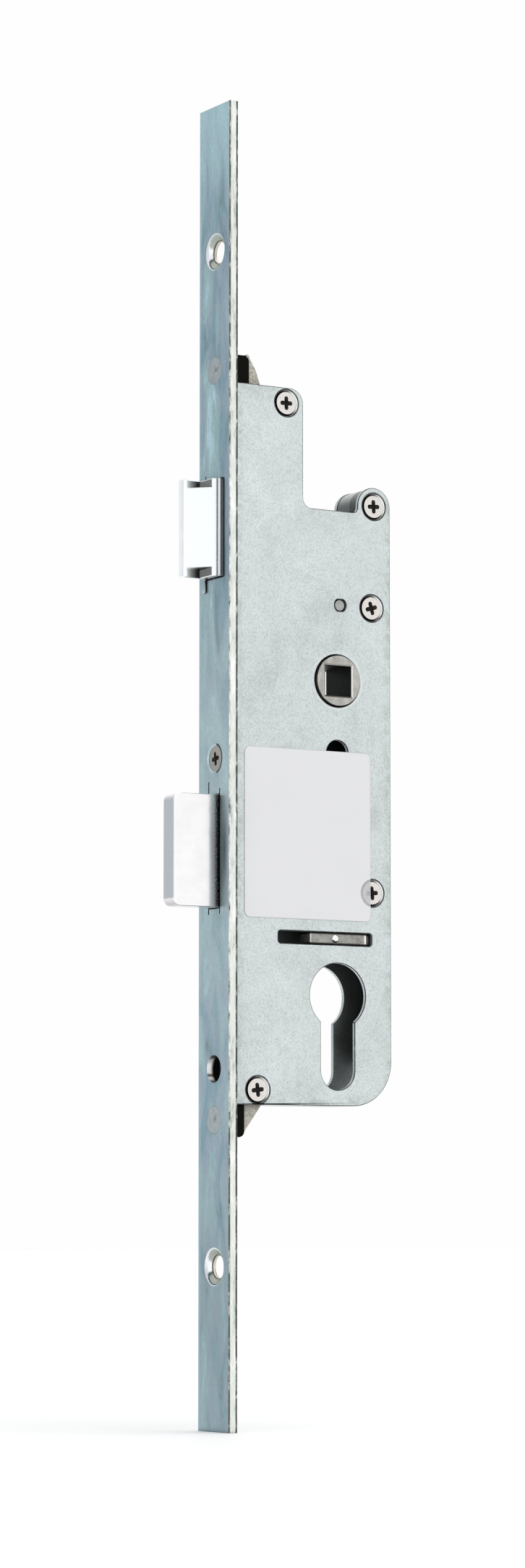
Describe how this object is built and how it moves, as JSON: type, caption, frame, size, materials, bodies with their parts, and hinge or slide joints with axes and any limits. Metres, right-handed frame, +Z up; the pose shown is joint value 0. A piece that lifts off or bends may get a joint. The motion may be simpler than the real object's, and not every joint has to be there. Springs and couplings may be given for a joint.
{
  "type": "mortice door lock case",
  "caption": "Slim mortice lock case on a long faceplate, with a sprung bevelled latch worked by a square spindle and a deadbolt thrown by a profile key cylinder.",
  "frame": {"origin": "on the axis of the handle spindle's square hole, in the middle of the case's thickness", "axes": "+Z up along the faceplate, +X from the faceplate into the door, -Y towards the screwed cover"},
  "size_m": [0.066, 0.016, 0.355],
  "materials": {
    "faceplate": "zinc plated and passivated, mottled blue-grey",
    "case_sheet": "zinc plated sheet, fine mottled grain",
    "screw_nickel": "nickel plated, satin",
    "bright_steel": "polished and plated",
    "deadbolt_nickel": "nickel plated, satin",
    "sintered": "sintered steel, fine grain",
    "cast_zinc": "cast zinc alloy, grainy",
    "plain_steel": "plain zinc plated steel",
    "spring_steel": "drawn spring wire, dark",
    "packer_black": "black moulded nylon",
    "label_stock": "blank pale grey label"
  },
  "bodies": {
    "case": {"faceplate": "faceplate", "case_cover": "case_sheet", "case_tray": "case_sheet", "cover_screws": "screw_nickel", "case_pillars": "plain_steel", "lug_bush": "cast_zinc", "faceplate_screw": "screw_nickel", "fixing_block": "plain_steel", "faceplate_rivets": "faceplate", "upper_packer": "packer_black", "lower_packer": "packer_black", "upper_end_bracket": "cast_zinc", "lower_end_bracket": "cast_zinc", "follower_spring": "spring_steel", "follower_spring_posts": "plain_steel", "latch_spring": "spring_steel", "latch_guide": "plain_steel", "latch_guide_clip": "spring_steel", "latch_lever_pin": "bright_steel", "deadbolt_guide_stud": "plain_steel", "deadbolt_lever_pin": "plain_steel", "deadbolt_detent_spring": "spring_steel", "detent_spring_post": "plain_steel", "blank_label": "label_stock"},
    "follower": {"follower": "sintered"},
    "latch_lever": {"latch_lever": "plain_steel"},
    "latch": {"latch_bolt": "bright_steel", "latch_tail": "plain_steel"},
    "deadbolt": {"deadbolt": "deadbolt_nickel", "deadbolt_tail": "plain_steel", "deadbolt_rivets": "plain_steel", "deadbolt_drive_pin": "plain_steel"},
    "deadbolt_lever": {"deadbolt_lever": "sintered"},
    "slider": {"cylinder_slider": "sintered", "slider_drive_pin": "plain_steel", "slider_rivet": "bright_steel"}
  },
  "joints": [
    {"name": "follower_turn", "type": "hinge", "parent": "case", "child": "follower", "pos_m": [0, 0, 0], "axis": [0, 1, 0], "range_deg": [0, 32.01], "deforming": ["follower_spring"]},
    {"name": "latch_lever_turn", "type": "hinge", "parent": "case", "child": "latch_lever", "pos_m": [0.001, 0, 0.0207], "axis": [0, 1, 0], "range_deg": [0, 27.21]},
    {"name": "latch_slide", "type": "slide", "parent": "case", "child": "latch", "axis": [1, 0, 0], "range_m": [0, 0.0085], "stiffness_N_per_m": 2890, "springref_m": -0.0063, "deforming": ["latch_spring"]},
    {"name": "deadbolt_slide", "type": "slide", "parent": "case", "child": "deadbolt", "axis": [1, 0, 0], "range_m": [0, 0.014], "deforming": ["deadbolt_detent_spring"]},
    {"name": "deadbolt_lever_turn", "type": "hinge", "parent": "case", "child": "deadbolt_lever", "pos_m": [-0.00535, 0, -0.05874], "axis": [0, 1, 0], "range_deg": [0, 62.94]},
    {"name": "slider_slide", "type": "slide", "parent": "case", "child": "slider", "axis": [-1, 0, 0], "range_m": [0, 0.0095]}
  ],
  "couplings": [
    {"joint": "follower_turn", "follows": "latch_slide", "rad_per_m": 65.707},
    {"joint": "latch_lever_turn", "follows": "latch_slide", "rad_per_m": 55.836},
    {"joint": "deadbolt_lever_turn", "follows": "deadbolt_slide", "rad_per_m": 78.454},
    {"joint": "slider_slide", "follows": "deadbolt_slide", "ratio": 0.67857}
  ]
}
